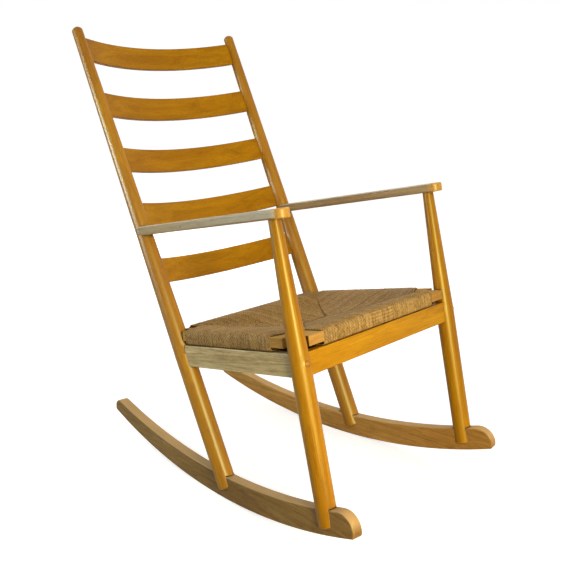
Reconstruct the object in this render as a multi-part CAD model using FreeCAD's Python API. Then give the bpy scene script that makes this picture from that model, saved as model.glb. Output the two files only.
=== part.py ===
"""High-backed rocking chair: turned legs, five bowed back slats and a loose woven seat.

Sizes are in millimetres. The chair stands at rest on its rockers and faces -Y, with +Z up.
It is laid out from the line where the rockers touch the floor. At the end every piece is
moved along Y, so that the origin is the middle of the chair's footprint, on the floor.
Left and right are the sitter's. The left side is drawn, and the right side mirrors it.
"""
import FreeCAD, Part
import math
import os

from FreeCAD import Placement, Rotation, Vector

# Stance: where the feet stand and where the legs and posts end
rocker_radius = 1185.0
front_foot_reach = 357.5
rear_foot_reach = -53.2
front_foot_spread = 564.0
rear_foot_spread = 494.0
front_foot_lift = 17.5
rear_foot_lift = 22.0
arm_height = 667.5
arm_rear_height = 547.3
front_head_reach = 166.0
front_head_spread = 584.0
post_height = 991.0
post_top_setback = 493.2
post_top_spread = 515.0

# Rockers
rocker_thickness = 27.0
rocker_nose_reach = 436.0
rocker_tail_reach = 373.5
rocker_nose_depth = 54.5
rocker_mid_depth = 51.0
rocker_tail_depth = 32.0
nose_rake = 6.5
tail_rake = 3.5
nose_radius = 39.0
toe_radius = 6.0
tail_radius = 15.0
rocker_edge_radius = 2.5

# Turned front legs and rear posts
leg_diameter = 43.0
leg_head_diameter = 26.0
leg_tenon_diameter = 16.0
leg_tenon_length = 13.0
post_diameter = 43.5
post_top_diameter = 25.0
post_dome_height = 8.0
foot_edge_radius = 3.5
# Room between the top of a rocker and the root of the slot that is cut into a foot for it
foot_slot_gap = 2.0

# Seat rails of the chair
rail_front_height = 388.4
rail_rear_height = 297.3
rail_depth = 48.5
rail_thickness = 20.0
rail_edge_radius = 2.0
rail_heel_radius = 10.0
tenon_thickness = 10.0
tenon_depth = 32.0
tenon_root_gap = 6.0
# How far the coped ends of rails and slats go into a post, as a share of its radius
end_bite_share = 0.5

# Back slats
slat_count = 5
slat_depth = 57.0
slat_pitch = 136.0
slat_drop = 24.0
slat_thickness = 8.0
slat_bow = 49.5
slat_corner_radius = 9.0
slat_tenon_depth = 38.0
slat_tenon_radius = 2.0
slat_tenon_gap = 3.0

# Armrests and the dowels that hold them to the posts
arm_thickness = 20.5
arm_width = 38.0
arm_overhang = 37.0
arm_edge_radius = 3.0
dowel_diameter = 10.0
dowel_length = 44.0
dowel_bite = 14.0

# Screws through the front legs into the side rails, each under a wooden plug in a sunk ring
screw_rise = 5.5
screw_length = 62.0
screw_diameter = 5.0
screw_head_diameter = 9.0
screw_head_height = 4.0
plug_diameter = 12.0
plug_depth = 8.0
plug_dome_height = 2.2
plug_ring_width = 0.8
plug_ring_depth = 1.2

# Loose seat: a wooden frame that a cord is woven round
seat_rail_width = 45.0
seat_rear_bar_width = 52.0
seat_rail_depth = 21.0
seat_rail_lift = 10.0
seat_rebate = 5.0
seat_post_gap = 2.0
seat_rest_gap = 0.3
seat_tongue_length = 14.0
seat_tongue_width = 9.0
seat_tongue_depth = 12.0
seat_end_gap = 1.5
woven_height = 35.5
woven_edge_radius = 8.0
woven_lining = 4.0
bare_front_length = 50.0
bare_side_length = 37.0
bare_rear_length = 9.0
seam_height = 6.2
seam_length = 86.0
seam_width = 6.0
seam_setback = 181.0
crest_inset = 32.0
# Sag of the woven top between its crest and its middle seam: share of the way in, share of
# the drop that is reached there
sag_shares = ((0.28, 0.30), (0.47, 0.58), (0.67, 0.80))

# Working values
overrun = 60.0
small = 0.01


def in_plane(origin, along, normal):
    """Placement with X along one direction and Z as near as can be to another."""
    side = normal.cross(along)
    return Placement(origin, Rotation(along, side, normal, "XZY"))


def put(shape, placement):
    placed = shape.copy()
    placed.Placement = placement.multiply(placed.Placement)
    return placed


def mirrored(shape):
    return shape.mirror(Vector(0, 0, 0), Vector(1, 0, 0))


def at_height(low, high, height):
    return low + (high - low) * ((height - low.z) / (high.z - low.z))


def direction(start, end):
    return (end - start) * (1 / (end - start).Length)


def turned(radii_at, axis_start, axis_end, rise=0):
    """Solid of revolution through (radius, distance along the axis) pairs, domed by a rise."""
    first = radii_at[0][1]
    radius, last = radii_at[-1]
    points = [Vector(0, 0, first)] + [Vector(r, 0, s) for r, s in radii_at]
    crown = Vector(0, 0, last + rise)
    edges = [Part.makeLine(p, q) for p, q in zip(points, points[1:])]
    if rise:
        ball_radius = (radius ** 2 + rise ** 2) / (2 * rise)
        middle = crown.z - ball_radius + math.sqrt(ball_radius ** 2 - (radius / 2) ** 2)
        edges.append(Part.Arc(points[-1], Vector(radius / 2, 0, middle), crown).toShape())
    else:
        edges.append(Part.makeLine(points[-1], crown))
    edges.append(Part.makeLine(crown, points[0]))
    solid = Part.Face(Part.Wire(edges)).revolve(Vector(0, 0, 0), Vector(0, 0, 1), 360)
    turn = Rotation(Vector(0, 0, 1), axis_end - axis_start)
    return put(solid, Placement(axis_start, turn))


def rod(start, along, radius, length):
    return Part.makeCylinder(radius, length, start, along)


def board(start, end, normal, first=0, last=0):
    """Rail centred on the line from start to end, with eased long edges."""
    length = (end - start).Length - first - last
    corner = Vector(first, -rail_thickness / 2, -rail_depth / 2)
    blank = Part.makeBox(length, rail_thickness, rail_depth, corner)
    long_edges = [e for e in blank.Edges if abs(e.BoundBox.XLength - length) < small]
    eased = blank.makeFillet(rail_edge_radius, long_edges)
    return put(eased, in_plane(start, end - start, normal))


def tenon(axis_point, along, normal):
    """Flat tenon that starts beside the axis of a leg or post and runs into the rail."""
    corner = Vector(tenon_root_gap, -tenon_thickness / 2, -tenon_depth / 2)
    blank = Part.makeBox(post_diameter / 2, tenon_thickness, tenon_depth, corner)
    return put(blank, in_plane(axis_point, along, normal))


# Layout points, all on the sitter's left


def floor_gap(reach):
    """Height of the rocker's underside above the floor at a distance from the contact."""
    return rocker_radius - math.sqrt(rocker_radius ** 2 - reach ** 2)


front_foot_height = floor_gap(front_foot_reach) + front_foot_lift
rear_foot_height = floor_gap(rear_foot_reach) + rear_foot_lift
front_foot = Vector(front_foot_spread / 2, -front_foot_reach, front_foot_height)
front_head = Vector(front_head_spread / 2, -front_head_reach, arm_height)
rear_foot = Vector(rear_foot_spread / 2, rear_foot_reach, rear_foot_height)
post_top = Vector(post_top_spread / 2, post_top_setback, post_height)

leg_axis = direction(front_foot, front_head)
post_axis = direction(rear_foot, post_top)
rail_front = at_height(front_foot, front_head, rail_front_height)
rail_rear = at_height(rear_foot, post_top, rail_rear_height)
arm_rear = at_height(rear_foot, post_top, arm_rear_height)

# The rails' middle lines lie in one sloping plane, and the seat rests on their top edges
rails_origin = Vector(0, rail_front.y, rail_front.z)
rails_end = Vector(0, rail_rear.y, rail_rear.z)
seat_back_way = direction(rails_origin, rails_end)
seat_up = Vector(1, 0, 0).cross(seat_back_way)
seat_place = in_plane(rails_origin + seat_up * (rail_depth / 2), Vector(1, 0, 0), seat_up)
seat_run = (rails_end - rails_origin).Length
side_taper = (rail_front.x - rail_rear.x) / seat_run


def half_width(back):
    """Half the seat's outer width at a distance behind the front rail's middle."""
    return rail_front.x + rail_thickness / 2 - side_taper * back


# Rockers


def rocker_corners():
    """Toe, nose, tail and heel of the rocker in its own upright plane, with X along its run."""
    toe = Vector(-rocker_nose_reach, 0, floor_gap(rocker_nose_reach))
    heel = Vector(rocker_tail_reach, 0, floor_gap(rocker_tail_reach))
    nose = toe + Vector(nose_rake, 0, rocker_nose_depth)
    tail = heel + Vector(tail_rake, 0, rocker_tail_depth)
    return toe, nose, tail, heel


def rocker_blank():
    toe, nose, tail, heel = rocker_corners()
    bottom_edge = Part.Arc(toe, Vector(0, 0, 0), heel).toShape()
    top_edge = Part.Arc(tail, Vector(0, 0, rocker_mid_depth), nose).toShape()
    outline = [bottom_edge, Part.makeLine(heel, tail), top_edge, Part.makeLine(nose, toe)]
    blank = Part.Face(Part.Wire(outline)).extrude(Vector(0, rocker_thickness, 0))
    blank.translate(Vector(0, -rocker_thickness / 2, 0))
    return blank


def rocker_slot():
    """Room for the rocker between the two cheeks of a foot, a little taller than the rocker."""
    blank = rocker_blank()
    raised = blank.copy()
    raised.translate(Vector(0, 0, foot_slot_gap))
    return put(blank.fuse(raised), rocker_place())


def rocker_place():
    run = Vector(rear_foot.x - front_foot.x, rear_foot.y - front_foot.y, 0)
    contact = front_foot - run * (front_foot.y / run.y)
    return in_plane(Vector(contact.x, 0, 0), run, Vector(0, 0, 1))


def make_rocker():
    toe, nose, tail, heel = rocker_corners()
    shape = rocker_blank()
    for corner, radius in ((toe, toe_radius), (nose, nose_radius), (tail, tail_radius), (heel, toe_radius)):
        across = [e for e in shape.Edges if e.distToShape(Part.Vertex(corner))[0] < small]
        shape = shape.makeFillet(radius, across)
    rim = [e for e in shape.Edges if e.BoundBox.YLength < small]
    return put(shape.makeFillet(rocker_edge_radius, rim), rocker_place())


# Turned legs and posts


def leg_blank():
    length = (front_head - front_foot).Length
    taper_start = (rail_front - front_foot).Length
    radius = leg_diameter / 2
    head = leg_head_diameter / 2
    spare = arm_thickness / 2
    thinner = (radius - head) * spare / (length - taper_start)
    steps = ((radius - foot_edge_radius, 0), (radius, foot_edge_radius), (radius, taper_start),
             (head - thinner, length + spare))
    return turned(steps, front_foot, front_head)


def leg_tenon():
    start = front_head - leg_axis * leg_tenon_length
    return rod(start, leg_axis, leg_tenon_diameter / 2, 2 * leg_tenon_length)


def post_blank():
    length = (post_top - rear_foot).Length - post_dome_height
    taper_start = (rail_rear - rear_foot).Length
    radius = post_diameter / 2
    top = post_top_diameter / 2
    steps = ((radius - foot_edge_radius, 0), (radius, foot_edge_radius), (radius, taper_start), (top, length))
    return turned(steps, rear_foot, post_top, post_dome_height)


# Armrests


def arm_up():
    along = direction(arm_rear, front_head)
    level = Vector(0, 0, 1).cross(along)
    return along.cross(level)


def arm_blank():
    """Flat arm with a round front end, drawn from the post's axis to past the leg."""
    length = (front_head - arm_rear).Length + arm_overhang
    half = arm_width / 2
    straight = length - half
    inner_rear, inner_front = Vector(0, -half, 0), Vector(straight, -half, 0)
    outer_rear, outer_front = Vector(0, half, 0), Vector(straight, half, 0)
    nose = Part.Arc(inner_front, Vector(length, 0, 0), outer_front).toShape()
    lines = [Part.makeLine(inner_rear, inner_front), nose, Part.makeLine(outer_front, outer_rear),
             Part.makeLine(outer_rear, inner_rear)]
    blank = Part.Face(Part.Wire(lines)).extrude(Vector(0, 0, arm_thickness))
    rim = [e for e in blank.Edges if e.BoundBox.ZLength < small and e.BoundBox.XMax > half]
    eased = blank.makeFillet(arm_edge_radius, rim)
    return put(eased, in_plane(arm_rear, front_head - arm_rear, arm_up()))


def arm_dowel():
    along = direction(arm_rear, front_head)
    middle = arm_rear + arm_up() * (arm_thickness / 2)
    start = middle + along * (post_diameter / 2 - dowel_bite)
    return rod(start, along, dowel_diameter / 2, dowel_length)


# Rails


def side_rail_blank():
    """Side rail between leg and post, with a rounded lower corner beside the post."""
    along = rail_rear - rail_front
    end = post_diameter / 2 * end_bite_share
    blank = board(rail_front, rail_rear, seat_up, 0, end)
    place = in_plane(rail_front, along, seat_up)
    local = put(blank, place.inverse())
    length = along.Length - end
    low = -rail_depth / 2
    rear_edges = [e for e in local.Edges if abs(e.BoundBox.XMin - length) < small]
    heel = [e for e in rear_edges if abs(e.BoundBox.ZMax - low) < small]
    return put(local.makeFillet(rail_heel_radius, heel), place)


def side_tenons():
    along = direction(rail_front, rail_rear)
    front = tenon(rail_front, along, seat_up)
    rear = tenon(rail_rear, along * -1, seat_up)
    return front.fuse(rear)


def cross_rail_blank(end_point):
    return board(end_point, Vector(-end_point.x, end_point.y, end_point.z), seat_up)


def cross_tenons(end_point):
    left = tenon(end_point, Vector(-1, 0, 0), seat_up)
    return left.fuse(mirrored(left))


# Slats


def slat_blank(number):
    """Bent slat, cut to its outline: round corners at the posts and a tenon at each end."""
    down = slat_drop + slat_depth / 2 + number * slat_pitch
    middle = post_top - post_axis * down
    up_way = direction(Vector(0, rear_foot.y, rear_foot.z), Vector(0, post_top.y, post_top.z))
    back_way = Vector(-1, 0, 0).cross(up_way)
    half_span = middle.x
    taper_share = (down - (post_top - rail_rear).Length) / (post_top - rail_rear).Length
    post_radius = post_diameter / 2 + (post_diameter - post_top_diameter) / 2 * taper_share
    bend = (half_span ** 2 + slat_bow ** 2) / (2 * slat_bow)

    def ring(radius):
        return Part.makeCylinder(radius, slat_depth, Vector(0, -bend, -slat_depth / 2))

    bent = ring(bend + slat_thickness / 2).cut(ring(bend - slat_thickness / 2))
    bent.translate(Vector(0, slat_bow, 0))
    shoulder = half_span - post_radius * end_bite_share
    tip = half_span - slat_tenon_gap
    body = rounded_plate(shoulder, slat_depth, slat_corner_radius)
    tongue = rounded_plate(tip, slat_tenon_depth, slat_tenon_radius)
    local = bent.common(body.fuse(tongue))
    return put(local, in_plane(Vector(0, middle.y, middle.z), Vector(1, 0, 0), up_way))


def rounded_plate(half_length, depth, radius):
    """Upright plate along X with rounded corners, thick enough to span the bow."""
    corner = Vector(-half_length, -overrun, -depth / 2)
    plate = Part.makeBox(2 * half_length, 2 * overrun + slat_bow, depth, corner)
    corners = [e for e in plate.Edges if e.BoundBox.YLength > overrun]
    return plate.makeFillet(radius, corners)


# Screws and plugs


def screw_line():
    """Point on the leg's axis, and the way from there into the rail."""
    return rail_front + leg_axis * screw_rise, direction(rail_front, rail_rear)


def screw():
    axis, along = screw_line()
    seat = axis - along * (leg_diameter / 2 - plug_depth)
    head = rod(seat, along, screw_head_diameter / 2, screw_head_height)
    shank = rod(seat, along, screw_diameter / 2, screw_length)
    return head.fuse(shank)


def plug():
    axis, along = screw_line()
    bottom = axis - along * (leg_diameter / 2 - plug_depth)
    radius = plug_diameter / 2
    steps = ((radius, 0), (radius, plug_depth))
    return turned(steps, bottom, axis - along * leg_diameter, plug_dome_height)


def plug_ring():
    """Shallow ring sunk into the leg round the plug."""
    axis, along = screw_line()
    start = axis - along * (leg_diameter / 2 - plug_ring_depth)
    return rod(start, along * -1, plug_diameter / 2 + plug_ring_width, plug_depth)


# Loose seat, drawn flat with X across, Y backwards and Z up from the top of the rails


def bars_front():
    return -rail_thickness / 2


def bars_rear():
    return seat_run + rail_thickness / 2


def side_bar_ends():
    """The left side bar runs from the back of the front bar to just before the post."""
    lean = post_axis.dot(seat_up)
    lean_back = post_axis.dot(seat_back_way) / lean
    post_front = seat_run + (rail_depth / 2 + seat_rail_lift) * lean_back - post_diameter / 2 / lean
    return bars_front() + seat_rail_width, post_front - seat_post_gap


def side_x(back, inset):
    return half_width(back) - inset


def extruded(outline, height):
    return Part.Face(Part.makePolygon(outline + outline[:1])).extrude(Vector(0, 0, height))


def seat_bar(outline, wound):
    """Bar of the seat frame over an outline, rebated where the cord goes round it."""
    bar = extruded(outline, seat_rail_depth).cut(extruded(wound, seat_rail_depth))
    bar.translate(Vector(0, 0, seat_rail_lift))
    return bar


def front_bar_half():
    return rail_front.x - leg_diameter / 2 - seat_end_gap


def rear_bar_half():
    return rail_rear.x - post_diameter / 2 - seat_end_gap


def wound_front_half():
    return front_bar_half() - bare_front_length


def wound_rear_half():
    return rear_bar_half() - bare_rear_length


def cross_strip(half, low, high):
    return [Vector(-half, low, 0), Vector(half, low, 0), Vector(half, high, 0), Vector(-half, high, 0)]


def front_bar():
    front = bars_front()
    outline = cross_strip(front_bar_half(), front, front + seat_rail_width)
    wound = cross_strip(wound_front_half(), front, front + seat_rebate)
    return seat_bar(outline, wound).cut(side_tongue()).cut(mirrored(side_tongue()))


def side_bar():
    front, rear = side_bar_ends()
    wound_front = front + bare_side_length
    wound_rear = rear - bare_rear_length

    def strip(low, high, width):
        return [Vector(side_x(low, 0), low, 0), Vector(side_x(high, 0), high, 0),
                Vector(side_x(high, width), high, 0), Vector(side_x(low, width), low, 0)]

    bar = seat_bar(strip(front, rear, seat_rail_width), strip(wound_front, wound_rear, seat_rebate))
    return bar.fuse(side_tongue()).cut(rear_tongue()).removeSplitter()


def side_tongue():
    """Tongue on the front end of the left side bar, let into the back of the front bar."""
    front = bars_front() + seat_rail_width
    low = seat_rail_lift + (seat_rail_depth - seat_tongue_depth) / 2
    shared = front_bar_half() - side_x(front, seat_rail_width)
    left = side_x(front, seat_rail_width) + (shared - seat_tongue_width) / 2
    corner = Vector(left, front - seat_tongue_length, low)
    return Part.makeBox(seat_tongue_width, 2 * seat_tongue_length, seat_tongue_depth, corner)


def rear_tongue():
    """Tongue on the left end of the rear bar, let into the side bar."""
    rear = side_bar_ends()[1]
    front = bars_rear() - seat_rear_bar_width
    low = seat_rail_lift + (seat_rail_depth - seat_tongue_depth) / 2
    middle = (front + rear - seat_tongue_width) / 2
    corner = Vector(side_x(front, seat_rail_width) - seat_tongue_length, middle, low)
    return Part.makeBox(2 * seat_tongue_length, seat_tongue_width, seat_tongue_depth, corner)


def rear_bar():
    """Rear bar: its ends meet the side bars, and its back part fits between the posts."""
    rear = bars_rear()
    front = rear - seat_rear_bar_width
    step = side_bar_ends()[1]
    half = rear_bar_half()
    left = [Vector(side_x(front, seat_rail_width), front, 0), Vector(side_x(step, seat_rail_width), step, 0),
            Vector(half, step, 0), Vector(half, rear, 0)]
    right = [Vector(-p.x, p.y, 0) for p in left]
    wound = cross_strip(wound_rear_half(), rear - seat_rebate, rear)
    bar = seat_bar(left + right[::-1], wound)
    return bar.fuse(rear_tongue()).fuse(mirrored(rear_tongue())).removeSplitter()


def woven_roll(start, end, inward):
    """Cord wound round one bar: a band with eased outer edges along the bar's face."""
    along = end - start
    width = seat_rail_width + woven_lining
    height = woven_height - seat_rest_gap
    band = Part.makeBox(along.Length, width, height, Vector(0, 0, seat_rest_gap))
    long_edges = [e for e in band.Edges if abs(e.BoundBox.XLength - along.Length) < small]
    outer = [e for e in long_edges if e.BoundBox.YMax < small]
    eased = band.makeFillet(woven_edge_radius, outer)
    return put(eased, Placement(start, Rotation(along, inward, Vector(0, 0, 1), "XZY")))


def woven_bowl():
    """Space over the sagging top: it narrows by steps from the crest down to the seam."""
    crest_front = bars_front() + crest_inset
    crest_rear = bars_rear() - crest_inset
    seam_front = seam_setback - seam_width / 2
    seam_rear = seam_setback + seam_width / 2

    def outline(share, height):
        near = crest_front + (seam_front - crest_front) * share
        far = crest_rear + (seam_rear - crest_rear) * share
        near_half = side_x(near, crest_inset) * (1 - share) + seam_length / 2 * share
        far_half = side_x(far, crest_inset) * (1 - share) + seam_length / 2 * share
        corners = [Vector(-near_half, near, height), Vector(near_half, near, height),
                   Vector(far_half, far, height), Vector(-far_half, far, height)]
        return Part.makePolygon(corners + corners[:1])

    drop = woven_height - seam_height
    levels = ((0, 0),) + sag_shares + ((1, 1),)
    wires = [outline(0, woven_height + overrun)]
    wires += [outline(share, woven_height - drop * fall) for share, fall in levels]
    return Part.makeLoft(wires, True, True)


def woven_seat(bars):
    """Woven cord as one body: four wound bands and the panels that meet at the seams."""
    front = bars_front()
    rear = bars_rear()
    side_front, side_rear = side_bar_ends()
    start = side_front + bare_side_length
    end = side_rear - bare_rear_length
    reach = seat_rail_width + woven_lining / 2
    height = woven_height - seat_rest_gap

    front_half = wound_front_half()
    rear_half = wound_rear_half()
    side_line = (Vector(side_x(start, 0), start, 0), Vector(side_x(end, 0), end, 0))
    left_roll = woven_roll(*side_line, Vector(-1, 0, 0))
    front_roll = woven_roll(Vector(-front_half, front, 0), Vector(front_half, front, 0), Vector(0, 1, 0))
    rear_roll = woven_roll(Vector(rear_half, rear, 0), Vector(-rear_half, rear, 0), Vector(0, -1, 0))
    left = [Vector(wound_front_half(), front + reach, 0), Vector(side_x(start, reach), start, 0),
            Vector(side_x(end, reach), end, 0), Vector(wound_rear_half(), rear - reach, 0)]
    right = [Vector(-p.x, p.y, 0) for p in left]
    panel = extruded(left + right[::-1], height)
    panel.translate(Vector(0, 0, seat_rest_gap))
    whole = panel.multiFuse([front_roll, rear_roll, left_roll, mirrored(left_roll)]).removeSplitter()
    return whole.cut(woven_bowl()).cut(Part.makeCompound(bars))


def make_seat():
    left_bar = side_bar()
    bars = [front_bar(), rear_bar(), left_bar, mirrored(left_bar)]
    cloth = woven_seat(bars)
    names = ("seat_front_bar", "seat_rear_bar", "seat_left_bar", "seat_right_bar", "woven_seat")
    return {name: put(shape, seat_place) for name, shape in zip(names, bars + [cloth])}


def make_frame():
    rocker = make_rocker()
    slot = rocker_slot()
    leg = leg_blank()
    post = post_blank()
    arm = arm_blank()
    dowel = arm_dowel()
    tongues = side_tenons()
    front_tongues = cross_tenons(rail_front)
    rear_tongues = cross_tenons(rail_rear)
    slats = [slat_blank(number) for number in range(slat_count)]
    screw_body = screw()
    plug_body = plug()
    side_rail = side_rail_blank().cut(leg).cut(post).fuse(tongues)

    left = {}
    left["rocker"] = rocker
    left["armrest"] = arm.cut(post).cut(leg_tenon()).cut(dowel)
    left["side_rail"] = side_rail.cut(screw_body).removeSplitter()
    left["front_leg"] = leg.cut(arm).fuse(leg_tenon())
    for hole in (slot, tongues, front_tongues, screw_body, plug_body, plug_ring()):
        left["front_leg"] = left["front_leg"].cut(hole)
    left["rear_post"] = post.cut(slot).cut(tongues).cut(rear_tongues).cut(dowel)
    for slat in slats:
        left["rear_post"] = left["rear_post"].cut(slat)

    pieces = {}
    for name, shape in left.items():
        pieces["left_" + name] = shape
        pieces["right_" + name] = mirrored(shape)
    both_legs = leg.fuse(mirrored(leg))
    both_posts = post.fuse(mirrored(post))
    pieces["front_rail"] = cross_rail_blank(rail_front).cut(both_legs).fuse(front_tongues).removeSplitter()
    pieces["rear_rail"] = cross_rail_blank(rail_rear).cut(both_posts).fuse(rear_tongues).removeSplitter()
    for number, slat in enumerate(slats):
        pieces["back_slat_" + str(number + 1)] = slat
    pieces["arm_dowels"] = Part.makeCompound([dowel, mirrored(dowel)])
    pieces["rail_screws"] = Part.makeCompound([screw_body, mirrored(screw_body)])
    pieces["screw_plugs"] = Part.makeCompound([plug_body, mirrored(plug_body)])
    return pieces


def main():
    os.makedirs("parts", exist_ok=True)
    pieces = make_frame()
    pieces.update(make_seat())
    box = Part.makeCompound(list(pieces.values())).optimalBoundingBox()
    centre = Vector(0, -(box.YMin + box.YMax) / 2, 0)
    for name, shape in pieces.items():
        shape.translate(centre)
        shape.exportStep("parts/" + name + ".step")
        print(name, len(shape.Solids), round(shape.Volume), shape.isValid())
    print("size", [round(v, 1) for v in (box.XLength, box.YLength, box.ZLength)], "shift", round(centre.y, 2))


main()
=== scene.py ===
# %% [markdown]
# # A high-backed rocking chair with a woven cord seat
# The chair is turned, sawn and bent wood round a loose seat that is woven from cord. The wooden
# pieces come in ready made, at their real size, so this script only gives them their finish. The
# cord is another matter: on the chair it is hundreds of turns of one long cord, and a smooth
# block would never look like it, so the seat is laid here strand by strand.

# %% Load the chair
import math
import random

import bmesh
import bpy
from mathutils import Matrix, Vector


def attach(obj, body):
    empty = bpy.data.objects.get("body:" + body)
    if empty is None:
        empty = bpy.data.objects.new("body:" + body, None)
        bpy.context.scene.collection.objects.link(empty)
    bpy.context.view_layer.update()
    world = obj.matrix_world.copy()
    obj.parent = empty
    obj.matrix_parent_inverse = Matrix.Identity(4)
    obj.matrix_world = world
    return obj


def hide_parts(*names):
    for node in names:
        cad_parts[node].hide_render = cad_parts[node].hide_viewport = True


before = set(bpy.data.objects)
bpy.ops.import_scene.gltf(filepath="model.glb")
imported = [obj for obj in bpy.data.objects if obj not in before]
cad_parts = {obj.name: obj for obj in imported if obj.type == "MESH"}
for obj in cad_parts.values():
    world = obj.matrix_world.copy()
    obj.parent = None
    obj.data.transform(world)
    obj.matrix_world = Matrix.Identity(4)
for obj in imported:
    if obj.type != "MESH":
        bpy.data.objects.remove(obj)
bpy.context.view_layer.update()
print("wooden and woven nodes:", len(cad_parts))

# %% [markdown]
# ## Where the photographer stood
# The chair is seen from its front right corner, from about two metres away and from as high as
# the top of its back. The camera is placed first, because every later choice is judged from it.
# Its place and turn were worked out from the outlines of the legs, rails and rockers.

# %% Camera
camera = bpy.data.objects.new("camera", bpy.data.cameras.new("camera"))
bpy.context.collection.objects.link(camera)
camera.location = (-1.6269, -1.2955, 1.0295)
camera.rotation_euler = [math.radians(angle) for angle in (74.033, -4.303, -50.642)]
camera.data.sensor_width = 36
camera.data.lens = 57.12
bpy.context.scene.camera = camera
print("camera", [round(v, 3) for v in camera.location])

# %% [markdown]
# ## Helpers for finishes
# A finish is a small network of nodes. A few short helpers keep the networks readable: one adds
# a node with its settings, one links two nodes, and one makes a colour ramp from a few stops.
# Colours are written as they look on a screen and turned into the linear values that the
# renderer counts in.

# %% Node helpers
def linear(red, green, blue):
    """Screen colour, 0 to 255, as linear light."""
    values = []
    for value in (red, green, blue):
        share = value / 255
        values.append(share / 12.92 if share < 0.04045 else ((share + 0.055) / 1.055) ** 2.4)
    return (*values, 1)


def grey(value):
    return (value, value, value, 1)


def add(material, kind, **settings):
    """Adds a node. A setting in_Name or in_0 is the value of that input."""
    node = material.node_tree.nodes.new("ShaderNode" + kind)
    for name, value in settings.items():
        if name.startswith("in_"):
            key = name[3:]
            node.inputs[int(key) if key.isdigit() else key.replace("_", " ")].default_value = value
        else:
            setattr(node, name, value)
    return node


def join(material, source, socket, target, entry):
    material.node_tree.links.new(source.outputs[socket], target.inputs[entry])


def ramp(material, source, socket, stops):
    node = add(material, "ValToRGB")
    elements = node.color_ramp.elements
    while len(elements) < len(stops):
        elements.new(0.5)
    for element, (place, colour) in zip(elements, stops):
        element.position = place
        element.color = colour
    join(material, source, socket, node, 0)
    return node.outputs[0]


def mixed(material, mode, amount, first, second):
    """Mix of two colours. Each of the three is a value or an output."""
    mix = add(material, "Mix", data_type="RGBA", blend_type=mode)
    for entry, value in ((0, amount), (6, first), (7, second)):
        if isinstance(value, bpy.types.NodeSocket):
            material.node_tree.links.new(value, mix.inputs[entry])
        else:
            mix.inputs[entry].default_value = value
    return mix.outputs[2]


def multiplied(material, amount, colour, source, socket, stops):
    """Multiplies a colour by what a ramp makes of a texture."""
    return mixed(material, "MULTIPLY", amount, colour, ramp(material, source, socket, stops))


def new_finish(name):
    material = bpy.data.materials.new(name)
    material.use_nodes = True
    shader = material.node_tree.nodes["Principled BSDF"]
    return material, shader


print("node helpers ready")

# %% [markdown]
# ## Grain
# The grain runs along each piece: up the turned legs, along the rockers, across the slats. Wood
# can be painted from a picture, but a picture has to be unwrapped onto every face. Here the
# grain is worked out in space instead: three dot products measure a point across, through and
# along the piece, and noise that is squeezed across and stretched along makes the fibres.

# %% Grain space
def grain_space(material, along):
    """Object coordinates measured across, through and along the grain."""
    along = Vector(along).normalized()
    upright = Vector((0, 0, 1)) if abs(along.z) < 0.8 else Vector((1, 0, 0))
    across = along.cross(upright).normalized()
    place = add(material, "TexCoord")
    merged = add(material, "CombineXYZ")
    for entry, axis in enumerate((across, along.cross(across), along)):
        dot = add(material, "VectorMath", operation="DOT_PRODUCT", in_1=axis)
        join(material, place, "Object", dot, 0)
        join(material, dot, "Value", merged, entry)
    return merged


def stretched_noise(material, space, across, along, **settings):
    mapping = add(material, "Mapping", in_Scale=(across, across, along))
    join(material, space, 0, mapping, "Vector")
    texture = add(material, "TexNoise", in_Scale=1.0, **settings)
    join(material, mapping, 0, texture, "Vector")
    return texture


knot_half_width = 0.0015
knot_half_height = 0.005


def knot_spot(material, back, height):
    """A narrow dark spot on a side face, at a distance back and a height."""
    place = add(material, "TexCoord")
    mapping = add(material, "Mapping", in_Scale=(0, 1 / knot_half_width, 1 / knot_half_height),
                  in_Location=(0, -back / knot_half_width, -height / knot_half_height))
    join(material, place, "Object", mapping, "Vector")
    length = add(material, "VectorMath", operation="LENGTH")
    join(material, mapping, 0, length, 0)
    return ramp(material, length, "Value", ((0.5, (0.28, 0.22, 0.16, 1)), (1.0, grey(1))))


print("grain space ready")

# %% [markdown]
# ## Corners and joints
# Two more things make old lacquered wood look old, and painted light is laid with them. Sharp
# corners are rubbed pale; on the arms the same mask also paints the light line along the top
# edge, and on the slats it paints shade along the edges. Dirt stays in the joints, and the
# darkening there is also painted shade. The Bevel node gives the normal of a softly rounded corner,
# so where it differs from the true normal there is a corner. Ambient Occlusion tells how shut in a
# spot is. Faces that look up are paler: partly rubbed by hands and feet, partly a painted
# reflection of the bright light above, and the normal finds them. The front ends of the arms are
# painted golden as warm lamp light, so the distance from an end is a mask too.

# %% Wear and painted light masks
# Corner mask from the Bevel node: it marks rubbed wear, and it also paints the arms' edge highlight and the
# slats' edge shade.
def worn_corners(material, radius, corner_mark):
    rounded = add(material, "Bevel", samples=6, in_Radius=radius)
    flat = add(material, "NewGeometry")
    dot = add(material, "VectorMath", operation="DOT_PRODUCT")
    join(material, rounded, 0, dot, 0)
    join(material, flat, "Normal", dot, 1)
    return rounded, ramp(material, dot, "Value", ((0.80, grey(corner_mark)), (0.985, grey(0))))


# Upward faces get paler: partly wear, partly a painted reflection of the light from above.
def facing_up(material, most):
    flat = add(material, "NewGeometry")
    dot = add(material, "VectorMath", operation="DOT_PRODUCT", in_1=(0, 0, 1))
    join(material, flat, "Normal", dot, 0)
    return ramp(material, dot, "Value", ((0.25, grey(0)), (0.70, grey(most))))


# Darkens shut-in spots: dirt in the joints together with painted shade in corners and recesses.
def shut_in(material, reach, darkest):
    shade = add(material, "AmbientOcclusion", samples=8, in_Distance=reach)
    return ramp(material, shade, "AO", ((0.36, darkest), (0.80, grey(1))))


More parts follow.
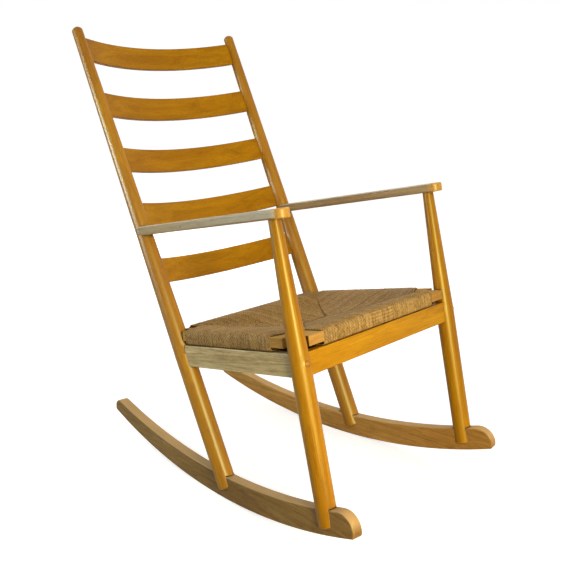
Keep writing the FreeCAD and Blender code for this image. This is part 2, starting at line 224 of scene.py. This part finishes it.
# Mask for the painted warm lamp light on the arms' front ends.
def near_end(material, space, end):
    """Strongest at an end of the piece, and gone about 3 cm from it."""
    parts = add(material, "SeparateXYZ")
    join(material, space, 0, parts, 0)
    distance = add(material, "Math", operation="SUBTRACT", in_1=end)
    join(material, parts, 2, distance, 0)
    return ramp(material, distance, 0, ((0.010, grey(0.8)), (0.032, grey(0))))


print("wear masks ready")

# %% [markdown]
# ## The colour of the wood
# The wood is a pale hardwood under an old golden lacquer. Broad bands of tone wander along each
# piece. Folded over and over, the same bands give the thin lines of the year rings. Fine fibres
# lie over them, short dark pores break them up, and on some pieces blotches mottle them.

# %% Wood colour
ring_folds = 9.0


def ring_lines(material, bands):
    """Folds the bands into thin lines that follow them."""
    rings = add(material, "Math", operation="MULTIPLY", in_1=ring_folds)
    join(material, bands, 0, rings, 0)
    folded = add(material, "Math", operation="PINGPONG", in_1=0.5)
    join(material, rings, 0, folded, 0)
    return folded


def unworn_colour(material, space, pale, deep, figure, mottled):
    """Colour of the wood before wear, and the noise of its fibres."""
    middle = [(a + b) / 2 for a, b in zip(pale, deep)]
    bands = stretched_noise(material, space, 42, 1.8, in_Detail=5.0, in_Roughness=0.58, in_Distortion=0.9)
    tones = ((0.28, linear(*deep)), (0.50, linear(*middle)), (0.74, linear(*pale)))
    colour = ramp(material, bands, 0, tones)
    colour = multiplied(material, figure, colour, ring_lines(material, bands), 0,
                        ((0.0, (0.62, 0.50, 0.38, 1)), (0.28, grey(1))))
    fibres = stretched_noise(material, space, 520, 11, in_Detail=3.0, in_Roughness=0.6)
    pores = stretched_noise(material, space, 1100, 90, in_Detail=1.0)
    clouds = stretched_noise(material, space, 9, 3.2, in_Detail=2.0)
    for amount, texture, stops in (
            (0.60, fibres, ((0.30, (0.74, 0.68, 0.58, 1)), (0.60, grey(1)))),
            (0.45, pores, ((0.27, (0.46, 0.34, 0.22, 1)), (0.38, grey(1)))),
            (1.0, clouds, ((0.34, (0.86, 0.80, 0.70, 1)), (0.64, (1.05, 1.05, 1.03, 1))))):
        colour = multiplied(material, amount, colour, texture, 0, stops)
    if mottled:
        blotches = stretched_noise(material, space, 60, 14, in_Detail=4.0, in_Roughness=0.7,
                                   in_Distortion=1.6)
        colour = multiplied(material, mottled, colour, blotches, 0,
                            ((0.36, (0.60, 0.58, 0.50, 1)), (0.56, grey(1))))
    return colour, fibres


print("wood colour ready")

# %% [markdown]
# ## The lacquered wood
# Wear and painted light are laid over the colour step by step: corners rubbed pale, with a
# painted edge highlight on the arms and painted shade on the slats' edges, upper faces paled by
# wear and a painted reflection, painted lamp light on the arms' front ends, and dirt with painted
# shade in the joints last. The lacquer is satin: its gloss comes from the shader alone, and the
# fibres lift it by a hair through a bump. The corner mark says how strongly the corners are marked,
# rim how wide, figure how clear the rings are and shine how much the lacquer mirrors.

# %% Wood finish
lamp_lit_gold = (214, 156, 48)
joint_depth = 0.011
joint_dirt_and_shade = (0.12, 0.07, 0.03, 1)
fibre_height = 0.0003


def wood_finish(name, along, pale=(204, 148, 10), deep=(166, 111, 2), wear_and_light_colour=(226, 184, 110),
                corner_mark=0.55, rim=0.0016, roughness=0.38, shine=0.12, tint=(1.0, 0.96, 0.70, 1), grime_and_shade=0.9,
                figure=0.35, top_wear_and_sheen=0.0, mottled=0.0, fresh_end=None, knot=None):
    """Lacquered wood. An arm's end along the grain is given, and there the wood is painted golden as warm
    lamp light; knot is the knot's place on a side.
    """
    material, shader = new_finish(name)
    space = grain_space(material, along)
    colour, fibres = unworn_colour(material, space, pale, deep, figure, mottled)
    # Corner colour: rubbed wear together with painted edge highlights and painted edge shade.
    rounded, corners = worn_corners(material, rim, corner_mark)
    colour = mixed(material, "MIX", corners, colour, linear(*wear_and_light_colour))
    # Paler upper faces: wear and a painted reflection of the light from above.
    if top_wear_and_sheen:
        colour = mixed(material, "MIX", facing_up(material, top_wear_and_sheen), colour, linear(*wear_and_light_colour))
    # Painted warm lamp light, golden on the arms' front ends.
    if fresh_end is not None:
        colour = mixed(material, "MIX", near_end(material, space, fresh_end), colour, linear(*lamp_lit_gold))
    if knot is not None:
        colour = mixed(material, "MULTIPLY", 1.0, colour, knot_spot(material, *knot))
    # Dirt and painted shade in the joints, corners and recesses.
    colour = mixed(material, "MULTIPLY", grime_and_shade, colour, shut_in(material, joint_depth, joint_dirt_and_shade))
    material.node_tree.links.new(colour, shader.inputs["Base Color"])
    bump = add(material, "Bump", in_Strength=0.10, in_Distance=fibre_height)
    join(material, fibres, 0, bump, "Height")
    join(material, rounded, 0, bump, "Normal")
    join(material, bump, 0, shader, "Normal")
    shader.inputs["Roughness"].default_value = roughness
    shader.inputs["Specular IOR Level"].default_value = shine
    shader.inputs["Specular Tint"].default_value = tint
    return material


def dress(node_name, material):
    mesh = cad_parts[node_name].data
    mesh.materials.clear()
    mesh.materials.append(material)


print("wood finish ready")

# %% [markdown]
# ## Which way each piece's grain runs
# The legs, posts, arms and side rails are mirror pairs, so each pair shares one direction with
# its sideways part reversed. The rockers and the arms have lost more of their lacquer than the
# rest: the arms to hands, the rockers to feet and floors. So they get greyer, duller wood. On the
# arms the grey is partly a painted reflection of the cool window light. The side rails are pale
# and mottled, their paleness too partly a painted reflection of that light. The rocker on the
# sitter's left is the paler one of the two, and the arm on the right has a small knot.

# %% Dressing the frame
golden = {"shine": 0.15, "tint": (1.0, 0.97, 0.70, 1)}
glossy_post = {"shine": 0.20, "roughness": 0.42, "tint": grey(1)}
# The arms' grey colours are partly a painted reflection of the cool window light.
hand_worn_and_sheened = {"pale": (184, 152, 100), "deep": (148, 118, 70), "wear_and_light_colour": (240, 230, 206),
             "corner_mark": 0.95, "rim": 0.003, "top_wear_and_sheen": 0.85, "mottled": 0.35,
             "shine": 0.20, "roughness": 0.42, "tint": grey(1)}
# The side rails' pale colours are partly a painted reflection of the cool window light.
pale_sheened_rail = {"pale": (240, 220, 166), "deep": (212, 192, 138), "wear_and_light_colour": (232, 218, 186),
             "figure": 0.8, "mottled": 0.7, "shine": 0.20, "roughness": 0.42, "tint": grey(1)}
floor_worn = {"pale": (180, 144, 82), "deep": (132, 98, 44), "wear_and_light_colour": (210, 174, 116),
              "corner_mark": 0.8, "rim": 0.0025, "top_wear_and_sheen": 0.6, "mottled": 0.6,
              "roughness": 0.5, "shine": 0.14, "tint": grey(1)}
far_rocker = {"pale": (222, 174, 98), "deep": (174, 128, 60)}
arm_knot = (0.051, 0.599)
turned_and_sawn = {
    "front_leg": ((0.016, 0.306, 0.952), golden),
    "rear_post": ((0.009, 0.492, 0.871), glossy_post),
    "armrest": ((-0.092, 0.955, -0.281), hand_worn_and_sheened),
    "side_rail": ((-0.101, 0.964, -0.246), pale_sheened_rail),
    "rocker": ((-0.114, 0.993, 0.0), floor_worn),
}
for piece, ((x, y, z), look) in turned_and_sawn.items():
    left_look, right_look = dict(look), dict(look)
    if piece == "rocker":
        left_look.update(far_rocker)
    if piece == "armrest":
        along = Vector((x, y, z)).normalized()
        arm_front = min(along.dot(vertex.co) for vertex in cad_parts["left_armrest"].data.vertices)
        left_look["fresh_end"] = right_look["fresh_end"] = arm_front
        right_look["knot"] = arm_knot
    dress("left_" + piece, wood_finish("left " + piece + " wood", (x, y, z), **left_look))
    dress("right_" + piece, wood_finish("right " + piece + " wood", (-x, y, z), **right_look))

print("legs, posts, arms, side rails and rockers dressed:", len(bpy.data.materials), "materials")

# %% [markdown]
# ## Rails, slats and plugs
# The rails and slats run across the chair, so their grain does too. The slats' edges are darkened
# instead of paled: their corner colour is a brown that paints shade on the edges. The plugs and
# dowels are short round pegs, whose grain is taken to run front to back.

# %% Dressing rails, slats and plugs
rail_wood = wood_finish("cross rail wood", (1, 0, 0.02), pale=(220, 164, 24), deep=(190, 132, 6),
                        shine=0.08, mottled=0.25)
for node_name in ("front_rail", "rear_rail"):
    dress(node_name, rail_wood)
# The slats' brown corner colour is painted shade on their edges.
slat_wood = wood_finish("bent slat wood", (1, 0.03, 0), pale=(200, 144, 10), deep=(166, 112, 2),
                        wear_and_light_colour=(96, 56, 8), corner_mark=0.85, rim=0.0024, shine=0.07, figure=0.22, mottled=0.15)
for number in range(1, 6):
    dress("back_slat_" + str(number), slat_wood)
plug_wood = wood_finish("plug wood", (0.1, 1, -0.2), pale=(214, 154, 60), deep=(176, 116, 30), grime_and_shade=1.0)
for node_name in ("screw_plugs", "arm_dowels"):
    dress(node_name, plug_wood)
print("frame dressed:", len(bpy.data.materials), "materials")

# %% [markdown]
# ## The seat's own wood and the hidden screws
# The loose seat has a frame of its own. Its ends show at the corners, where the cord stops. They
# were hardly lacquered, so they are paler and quite dull. The screws are zinc plated steel.

# %% Dressing the seat's frame and the screws
bare = {"pale": (218, 174, 100), "deep": (188, 140, 70), "roughness": 0.8, "shine": 0.04,
        "grime_and_shade": 1.0, "top_wear_and_sheen": 0.4}
bar_wood = wood_finish("seat bar wood", (1, 0.01, 0), **bare)
for node_name in ("seat_front_bar", "seat_rear_bar"):
    dress(node_name, bar_wood)
for side, x in (("left", -0.1), ("right", 0.1)):
    side_wood = wood_finish("seat " + side + " bar wood", (x, 0.96, -0.25), **bare)
    dress("seat_" + side + "_bar", side_wood)

steel, steel_shader = new_finish("zinc plated steel")
steel_shader.inputs["Metallic"].default_value = 1.0
steel_noise = stretched_noise(steel, grain_space(steel, (0, 1, 0)), 900, 60, in_Detail=2.0)
steel_colour = ramp(steel, steel_noise, 0, ((0.3, grey(0.42)), (0.7, grey(0.66))))
steel.node_tree.links.new(steel_colour, steel_shader.inputs["Base Color"])
steel_shader.inputs["Roughness"].default_value = 0.34
dress("rail_screws", steel)
print("all wooden nodes dressed")

# %% [markdown]
# ## The seat's own coordinates
# The seat slopes down to the back, so measuring it along the room's axes would be clumsy. It is
# set out flat instead: across, back from the front rail and up from the top of the rails. One
# function puts such a point into the room. The two sides draw in towards the back. The wound
# values say where the cord starts and stops on each bar, and the crests how high it lies.

# %% Seat layout
seat_start = Vector((0, -0.29691, 0.4119))
seat_back = Vector((0, 0.96902, -0.24699))
seat_up = Vector((0, 0.24699, 0.96902))
front_face = -0.010
rear_face = 0.37884
wound_front_half = 0.2143
wound_rear_half = 0.2177
wound_side = (0.0720, 0.3446)
bar_width = 0.045
rear_bar_width = 0.052
crest_height = 0.0355
rear_crest_height = 0.0375
half_front = 0.29731
draw_in = 0.10118
cord_radius = 0.00165


def in_room(across, back, up):
    return seat_start + Vector((across, 0, 0)) + seat_back * back + seat_up * up


def half_width(back):
    return half_front - draw_in * back


print("seat width, front and rear:", [round(2 * half_width(back), 3) for back in (front_face, rear_face)])

# %% [markdown]
# ## The seams
# The cord runs from each bar to the middle, and the four panels meet along seams that come in
# from the corners and join in one short seam across the centre. Where sitters have pressed it
# down, the seams sink. Each seam is a line of a few points: distance from the middle line,
# distance back and height. Between them it is read off by straight steps.

# %% Seam lines
middle_back = 0.1810
middle_end = (0.0430, middle_back, 0.0075)
front_seam = ((0.2140, 0.0340, 0.0335), (0.1750, 0.0670, 0.0285), (0.1460, 0.0920, 0.0225),
              (0.1080, 0.1250, 0.0155), (0.0600, 0.1650, 0.0100), middle_end)
rear_seam = (middle_end, (0.0990, 0.2349, 0.0115), (0.1300, 0.2643, 0.0170),
             (0.1620, 0.2944, 0.0260), (0.2070, 0.3365, 0.0350), (0.2180, 0.3470, 0.0360))


def along_line(points, value, column):
    """Point of a line of points where one of its columns has a value."""
    ordered = sorted(points, key=lambda point: point[column])
    value = min(max(value, ordered[0][column]), ordered[-1][column])
    for low, high in zip(ordered, ordered[1:]):
        if value <= high[column]:
            share = (value - low[column]) / (high[column] - low[column])
            return tuple(a + (b - a) * share for a, b in zip(low, high))
    return ordered[-1]


print("seam height at the middle of the front seam:", round(along_line(front_seam, 0.12, 0)[2], 4))

# %% [markdown]
# ## The path of one strand
# Every strand does the same thing. It comes from the seam below, where it hangs a little, and
# rises to its bar's underside. It turns up the outer face, rounds over the top edge and lies on
# the bar. From the bar's inner edge it sags to the seam above, where it dives between its
# neighbours. So one list of steps serves all four panels. A step is a distance in from the bar's
# outer face and a height. The sag is written as shares: how far along the free part, and how
# much of the drop is reached there. Where the seam is low, the sag begins on the bar's edge.

# %% Strand path
top_sag = ((0.30, 0.31), (0.62, 0.74), (0.96, 0.985))
belly_height = -0.0125
shortest_free_part = 0.006
low_seam = 0.032
edge_drop = 0.0012
lowest_edge = 0.0330


def wrap_steps(reach, seam_height, width, top_height):
    """Steps of one strand. Reach is how far in its seam lies."""
    radius = cord_radius
    crest = top_height - radius
    edge = min(width + 0.001, reach - shortest_free_part)
    edge_height = max(crest - edge_drop, lowest_edge) if seam_height < low_seam else crest
    seam_top = seam_height - radius * 0.5
    steps = [(reach + 0.001, belly_height), (reach, belly_height), (0.0345, -0.0095), (0.0258, -0.0042),
             (0.0212, 0.0003 + radius), (0.0042, 0.0005 + radius),
             (radius, 0.0062), (radius, 0.0262), (0.0032, 0.0313), (0.0092, crest), (edge, edge_height)]
    for along, fall in top_sag:
        steps.append((edge + along * (reach - edge), edge_height + fall * (seam_top - edge_height)))
    steps.append((reach + 0.0003, seam_top - 0.0004))
    steps.append((reach + 0.0012, seam_top - 0.0050))
    return steps


print("steps in one strand:", len(wrap_steps(0.15, 0.01, bar_width, crest_height)))

# %% [markdown]
# ## Laying the strands
# Each strand is one small grid, rolled into a tube round its path. A bevelled curve would do the
# same, but a grid keeps its map: one direction runs along the cord and the other round it, and
# the finish needs both for the twist of the cord. The ends shrink to a point and are merged, so
# every strand is closed. Neighbours press on each other, so a strand is wider than it is thick.

# %% Strand maker
strand_sides = 5
first_turn = 0.05
pressed_width = 1.10


def lay_strand(mesh, path, sideways, thickness, tone):
    """Rolls a grid into a tube round a path. Sideways is the way along the bar."""
    last = len(path) - 1
    grid = bmesh.ops.create_grid(mesh, x_segments=last, y_segments=strand_sides, size=0.5)["verts"]
    lengths = [0]
    for here, there in zip(path, path[1:]):
        lengths.append(lengths[-1] + (there - here).length)
    tone_layer = mesh.verts.layers.float["tone"]
    run_layer = mesh.verts.layers.float["run"]
    round_layer = mesh.verts.layers.float["around"]
    seam_shade_layer = mesh.verts.layers.float["seam"]
    for vert in grid:
        step = round((vert.co.x + 0.5) * last)
        turn = vert.co.y + 0.5
        ahead = (path[min(step + 1, last)] - path[max(step - 1, 0)]).normalized()
        outward = sideways.cross(ahead).normalized()
        angle = 2 * math.pi * (turn + first_turn)
        reach = 0 if step in (0, last) else thickness
        from_middle = sideways * math.cos(angle) * pressed_width + outward * math.sin(angle)
        vert.co = path[step] + from_middle * reach
        vert[tone_layer] = tone
        vert[run_layer] = lengths[step]
        vert[round_layer] = turn
        # The last steps, where a strand dives into the seam, are later darkened as painted shade.
        vert[seam_shade_layer] = 1 if step >= last - 1 else 0


def finish_piece(mesh, name, material, body):
    bmesh.ops.remove_doubles(mesh, verts=mesh.verts, dist=0.00001)
    bmesh.ops.recalc_face_normals(mesh, faces=mesh.faces)
    data = bpy.data.meshes.new(name)
    mesh.to_mesh(data)
    mesh.free()
    data.materials.append(material)
    data.shade_smooth()
    piece = bpy.data.objects.new(name, data)
    bpy.context.collection.objects.link(piece)
    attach(piece, body)
    print(name, len(data.polygons), "faces")
    return piece


print("a strand has", strand_sides, "sides")

# %% [markdown]
# ## The cord's finish
# The cord is twisted from two plies of dried grass or paper, tan brown and hardly shiny. The
# twist shows as fine slanting lines. They come from two lengths that each strand carries: the
# way along it and the way round it, added together and read as a wave. Each strand also carries
# its own tone, because no two turns of such a cord are quite the same colour.

# %% Cord finish
grooves_in_a_metre = 140.0
row_depth = 0.004


def cord_finish(name, pale, middle, deep):
    material, shader = new_finish(name)
    values = {}
    for key in ("tone", "run", "around", "seam"):
        values[key] = add(material, "Attribute", attribute_name=key)
    twist = add(material, "Math", operation="MULTIPLY_ADD", in_1=grooves_in_a_metre)
    join(material, values["run"], "Fac", twist, 0)
    join(material, values["around"], "Fac", twist, 2)
    wave = add(material, "Math", operation="PINGPONG", in_1=0.5)
    join(material, twist, 0, wave, 0)
    place = add(material, "TexCoord")
    mottle = add(material, "TexNoise", in_Scale=150.0, in_Detail=5.0, in_Roughness=0.7)
    join(material, place, "Object", mottle, "Vector")
    faded = add(material, "TexNoise", in_Scale=9.0, in_Detail=2.0)
    join(material, place, "Object", faded, "Vector")
    total = add(material, "Math", operation="ADD")
    join(material, mottle, 0, total, 0)
    join(material, values["tone"], "Fac", total, 1)
    colour = ramp(material, total, 0, ((0.26, linear(*deep)), (0.50, linear(*middle)), (0.76, linear(*pale))))
    colour = multiplied(material, 0.65, colour, wave, 0, ((0.00, (0.40, 0.36, 0.30, 1)), (0.30, grey(1))))
    colour = multiplied(material, 1.0, colour, faded, 0, ((0.35, (0.88, 0.86, 0.84, 1)), (0.65, grey(1.06))))
    # Painted shade between the rows, where neighbouring strands shut a spot in.
    colour = mixed(material, "MULTIPLY", 0.6, colour, shut_in(material, row_depth, (0.30, 0.22, 0.14, 1)))
    # Painted shade on each strand's end where it dives into the seam.
    colour = multiplied(material, 1.0, colour, values["seam"], "Fac",
                        ((0.0, grey(1)), (0.9, (0.30, 0.24, 0.18, 1))))
    material.node_tree.links.new(colour, shader.inputs["Base Color"])
    bump = add(material, "Bump", in_Strength=0.6, in_Distance=0.0006)
    join(material, wave, 0, bump, "Height")
    join(material, bump, 0, shader, "Normal")
    shader.inputs["Roughness"].default_value = 0.62
    shader.inputs["Specular IOR Level"].default_value = 0.12
    shader.inputs["Sheen Weight"].default_value = 0.06
    return material


cord = cord_finish("twisted cord", pale=(218, 180, 114), middle=(182, 144, 82), deep=(126, 94, 46))
print("cord finish ready")

# %% [markdown]
# ## The front and rear panels
# The front and rear strands run straight back and forward, side by side from one end of the wound
# part to the other. A little unevenness in height, thickness and tone keeps the rows alive.

# %% Front and rear panels
random.seed(4)
seat_mesh = bmesh.new()
for layer in ("tone", "run", "around", "seam"):
    seat_mesh.verts.layers.float.new(layer)
strand_pitch = 2.04 * cord_radius


def uneven_crest(height):
    return height + random.uniform(-0.0003, 0.0004)


def uneven_radius():
    return cord_radius * random.uniform(0.98, 1.10)


def strand_tone():
    return random.uniform(-0.10, 0.10)


def lay_cross_panel(half, face, seam, way, width, top_height):
    """Strands over the front or rear bar. Way is 1 for the front bar and -1 for the rear."""
    count = round(2 * half / strand_pitch)
    for number in range(count):
        across = -half + 2 * half * (number + 0.5) / count
        end = along_line(seam, abs(across), 0)
        steps = wrap_steps(abs(end[1] - face), end[2], width, uneven_crest(top_height))
        path = [in_room(across, face + way * inward, up) for inward, up in steps]
        lay_strand(seat_mesh, path, Vector((way, 0, 0)), uneven_radius(), strand_tone())
    return count


front_count = lay_cross_panel(wound_front_half, front_face, front_seam, 1, bar_width, crest_height)
rear_count = lay_cross_panel(wound_rear_half, rear_face, rear_seam, -1, rear_bar_width, rear_crest_height)
print("strands over the front and rear bars:", front_count, rear_count)

# %% [markdown]
# ## The side panels
# The side strands run straight across, but the first ones fan out towards the front corner,
# because the cord starts further back on the side bar than the seam does. The fan dies away
# along the bar. The fanned strands share a wider gap, so they are a little thicker.

# %% Side panels
fan_reach = 0.036
fan_fade = 0.060
fan_start = 0.012
fan_thickening = 4


def lay_side_panel(side):
    first, last = wound_side
    count = round((last - first) / strand_pitch)
    for number in range(count):
        start = first + (last - first) * (number + 0.5) / count
        fan = fan_reach * math.exp(-(start - first) / fan_fade)
        seam = front_seam if start - fan < middle_back else rear_seam
        end = along_line(seam, start - fan, 1)
        outer = half_width(start)
        reach = outer - end[0]
        path = []
        for inward, up in wrap_steps(reach, end[2], bar_width, uneven_crest(crest_height)):
            share = max(0, inward - fan_start) / (reach - fan_start)
            path.append(in_room(side * (outer - inward), start - fan * share, up))
        thickness = uneven_radius() * (1 + fan_thickening * fan)
        lay_strand(seat_mesh, path, seat_back * -side, thickness, strand_tone())
    return count


side_counts = [lay_side_panel(side) for side in (1, -1)]
print("strands over the side bars:", side_counts)

# %% [markdown]
# ## The runs inside the seat
# Between the upper and the lower layer the cord crosses to the opposite bar, front to rear and
# side to side. Those runs are hidden, but they keep daylight from showing through between the
# rows. They are straight, so each one needs only a few steps.

# %% Inner runs
inner_pitch = 0.00345
inner_half = 0.2087
inner_front = 0.036
inner_rear = 0.326
inner_height = -0.0035
inner_lower_height = -0.0070
inner_radius = cord_radius * 1.05
inner_shade = 0.06
first_setback = 0.002
bar_clearance = 0.001


def lay_inner_run(start, end, sideways):
    path = [start.lerp(end, share) for share in (0, 0.004, 0.5, 0.996, 1)]
    lay_strand(seat_mesh, path, sideways, inner_radius, strand_tone() - inner_shade)


long_runs = round(2 * inner_half / inner_pitch) + 1
for number in range(long_runs):
    across = -inner_half + inner_pitch * number
    lay_inner_run(in_room(across, inner_front, inner_height), in_room(across, inner_rear, inner_height),
                  Vector((1, 0, 0)))
first_back = inner_front + first_setback
cross_runs = round((inner_rear - first_back) / inner_pitch) + 1
for number in range(cross_runs):
    back = first_back + inner_pitch * number
    side = half_width(back) - bar_width - bar_clearance
    lay_inner_run(in_room(side, back, inner_lower_height), in_room(-side, back, inner_lower_height),
                  seat_back)
woven = finish_piece(seat_mesh, "woven_cord", cord, "seat")
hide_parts("woven_seat")
print("runs front to rear and side to side:", long_runs, cross_runs)

# %% [markdown]
# ## Floor and background
# The chair was cut out on white. A pale floor still has to catch a soft shadow under the
# rockers. So the floor is plain and dull for the light that strikes it, but the camera sees it
# with a glow added, and that glow stops just short of white: what is left is made up by the light,
# and where the rockers keep the light away, a faint shadow stays.

# %% Floor
def seen_directly(tree):
    """1 for what the camera, a reflection or glass sees, and 0 for light that only bounces."""
    rays = tree.nodes.new("ShaderNodeLightPath")
    mask = rays.outputs["Is Camera Ray"]
    for other in ("Is Glossy Ray", "Is Transmission Ray"):
        either = tree.nodes.new("ShaderNodeMath")
        either.operation = "MAXIMUM"
        tree.links.new(mask, either.inputs[0])
        tree.links.new(rays.outputs[other], either.inputs[1])
        mask = either.outputs[0]
    return mask


floor_reach = 30
floor_mesh = bmesh.new()
bmesh.ops.create_grid(floor_mesh, x_segments=1, y_segments=1, size=floor_reach)
floor_data = bpy.data.meshes.new("floor")
floor_mesh.to_mesh(floor_data)
floor_mesh.free()
floor = bpy.data.objects.new("floor", floor_data)
bpy.context.collection.objects.link(floor)

floor_paint = bpy.data.materials.new("floor paint")
floor_paint.use_nodes = True
floor_tree = floor_paint.node_tree
floor_tree.nodes.remove(floor_tree.nodes["Principled BSDF"])
dull = add(floor_paint, "BsdfDiffuse", in_Color=grey(0.10))
bright = add(floor_paint, "BsdfDiffuse", in_Color=grey(0.60))
glow = add(floor_paint, "Emission", in_Color=grey(1), in_Strength=0.68)
both = add(floor_paint, "AddShader")
join(floor_paint, bright, 0, both, 0)
join(floor_paint, glow, 0, both, 1)
choice = add(floor_paint, "MixShader")
floor_tree.links.new(seen_directly(floor_tree), choice.inputs[0])
join(floor_paint, dull, 0, choice, 1)
join(floor_paint, both, 0, choice, 2)
floor_tree.links.new(choice.outputs[0], floor_tree.nodes["Material Output"].inputs["Surface"])
floor_data.materials.append(floor_paint)
print("floor laid")

# %% [markdown]
# ## Lamps
# Cool daylight comes from a small window to the left of the chair, and a warmer lamp stands to
# the photographer's right. The lacquer mirrors both: the window makes the pale line down the
# posts and the lamp the golden line down the legs. The mirrored part is given by two more lamps
# in nearly the same places that only show in gloss, so the wood's own colour isn't washed out. A
# weak lamp low in front stands in for a white board that throws some light back on the right
# edges of the legs and the rail, and one on the far side keeps the back readable from there.

# %% Lamps
def soft_light(name, place, aim, size, power, colour):
    data = bpy.data.lights.new(name, "AREA")
    data.shape = "RECTANGLE"
    data.size, data.size_y = size
    data.energy = power
    data.color = colour
    lamp = bpy.data.objects.new(name, data)
    lamp.location = place
    lamp.rotation_euler = (Vector(aim) - Vector(place)).to_track_quat("-Z", "Y").to_euler()
    bpy.context.collection.objects.link(lamp)
    return lamp


soft_light("window", (-1.25, 0.88, 0.80), (-0.2, 0.2, 0.5), (0.35, 0.50), 8, (0.72, 0.87, 1.0))
soft_light("tall lamp", (-1.20, -2.05, 1.10), (0, 0, 0.45), (0.45, 0.9), 27, (1.0, 0.82, 0.48))
board = soft_light("white board", (-0.45, -1.15, 0.28), (-0.2, 0, 0.3), (0.5, 0.4), 4, (1.0, 0.86, 0.55))
far_lamp = soft_light("lamp behind", (1.6, 1.9, 0.9), (0, 0.2, 0.6), (0.8, 1.2), 18, (1.0, 0.94, 0.84))
for lamp in (board, far_lamp):
    lamp.visible_glossy = False

mirror_aim = (-0.2, 0.1, 0.5)
mirrored_window = soft_light("window in the lacquer", (-1.26, 0.87, 0.70), mirror_aim, (0.36, 0.44),
                             46, (0.80, 1.0, 0.84))
mirrored_lamp = soft_light("lamp in the lacquer", (-1.20, -2.05, 0.93), mirror_aim, (0.60, 0.45),
                           180, (0.94, 1.0, 0.36))
for lamp in (mirrored_window, mirrored_lamp):
    lamp.visible_diffuse = False
print("lamps:", len(bpy.data.lights))

# %% [markdown]
# ## The world
# The world fills the rest. A dot product with one direction makes it bright above and to the
# photographer's right and dark to the left. Behind the chair it shows plain white.

# %% World
world = bpy.data.worlds.new("studio")
world.use_nodes = True
bpy.context.scene.world = world
tree = world.node_tree
brightest = (0.42, -0.50, 0.757)
direction = tree.nodes.new("ShaderNodeTexCoord")
towards = tree.nodes.new("ShaderNodeVectorMath")
towards.operation = "DOT_PRODUCT"
towards.inputs[1].default_value = brightest
tree.links.new(direction.outputs["Generated"], towards.inputs[0])
sky = tree.nodes.new("ShaderNodeValToRGB")
sky.color_ramp.elements[0].position = 0.0
sky.color_ramp.elements[0].color = (0.07, 0.07, 0.072, 1)
sky.color_ramp.elements[1].position = 0.85
sky.color_ramp.elements[1].color = (0.98, 0.96, 0.93, 1)
tree.links.new(towards.outputs["Value"], sky.inputs[0])
ambient = tree.nodes["Background"]
tree.links.new(sky.outputs[0], ambient.inputs["Color"])
backdrop = tree.nodes.new("ShaderNodeBackground")
backdrop.inputs["Color"].default_value = grey(1)
choice = tree.nodes.new("ShaderNodeMixShader")
tree.links.new(seen_directly(tree), choice.inputs[0])
tree.links.new(ambient.outputs[0], choice.inputs[1])
tree.links.new(backdrop.outputs[0], choice.inputs[2])
tree.links.new(choice.outputs[0], tree.nodes["World Output"].inputs["Surface"])
bpy.context.scene.view_settings.view_transform = "Standard"
print("the sky is brightest towards", tuple(round(v, 2) for v in brightest))
